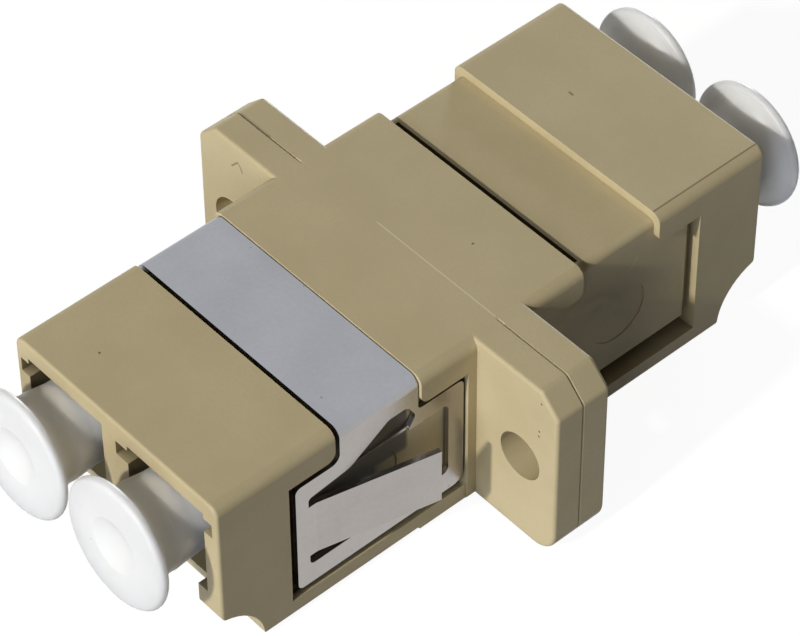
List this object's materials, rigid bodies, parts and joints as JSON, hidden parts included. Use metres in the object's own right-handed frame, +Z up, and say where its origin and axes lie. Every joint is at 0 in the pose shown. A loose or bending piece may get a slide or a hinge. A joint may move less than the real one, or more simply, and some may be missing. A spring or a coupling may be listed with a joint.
{
  "type": "lc fibre adapter",
  "caption": "Duplex LC fibre adapter in beige plastic with a screw flange, a folded steel panel clip and lift-off white dust caps.",
  "frame": {"origin": "middle of the underside, in the plane where the two moulded halves meet", "axes": "+Y along the port axis towards the rear ports (the half with no clip), +X across the width, +Z up to the plain top face that carries the clip's strap"},
  "size_m": [0.0222, 0.0356, 0.0096],
  "materials": {
    "housing_plastic": "satin",
    "clip_steel": "satin",
    "sleeve_zirconia": "polished",
    "cap_polyethylene": "satin"
  },
  "bodies": {
    "adapter": {"front_housing": "housing_plastic", "rear_housing": "housing_plastic", "panel_clip": "clip_steel", "split_sleeve_left": "sleeve_zirconia", "split_sleeve_right": "sleeve_zirconia"},
    "cap_front_left": {"dust_cap_front_left": "cap_polyethylene"},
    "cap_front_right": {"dust_cap_front_right": "cap_polyethylene"},
    "cap_rear_left": {"dust_cap_rear_left": "cap_polyethylene"},
    "cap_rear_right": {"dust_cap_rear_right": "cap_polyethylene"}
  },
  "joints": [
    {"name": "cap_front_left_slide", "type": "slide", "parent": "adapter", "child": "cap_front_left", "axis": [0, -1, 0], "range_m": [0, 0.0145]},
    {"name": "cap_front_right_slide", "type": "slide", "parent": "adapter", "child": "cap_front_right", "axis": [0, -1, 0], "range_m": [0, 0.0145]},
    {"name": "cap_rear_left_slide", "type": "slide", "parent": "adapter", "child": "cap_rear_left", "axis": [0, 1, 0], "range_m": [0, 0.0145]},
    {"name": "cap_rear_right_slide", "type": "slide", "parent": "adapter", "child": "cap_rear_right", "axis": [0, 1, 0], "range_m": [0, 0.0145]}
  ]
}
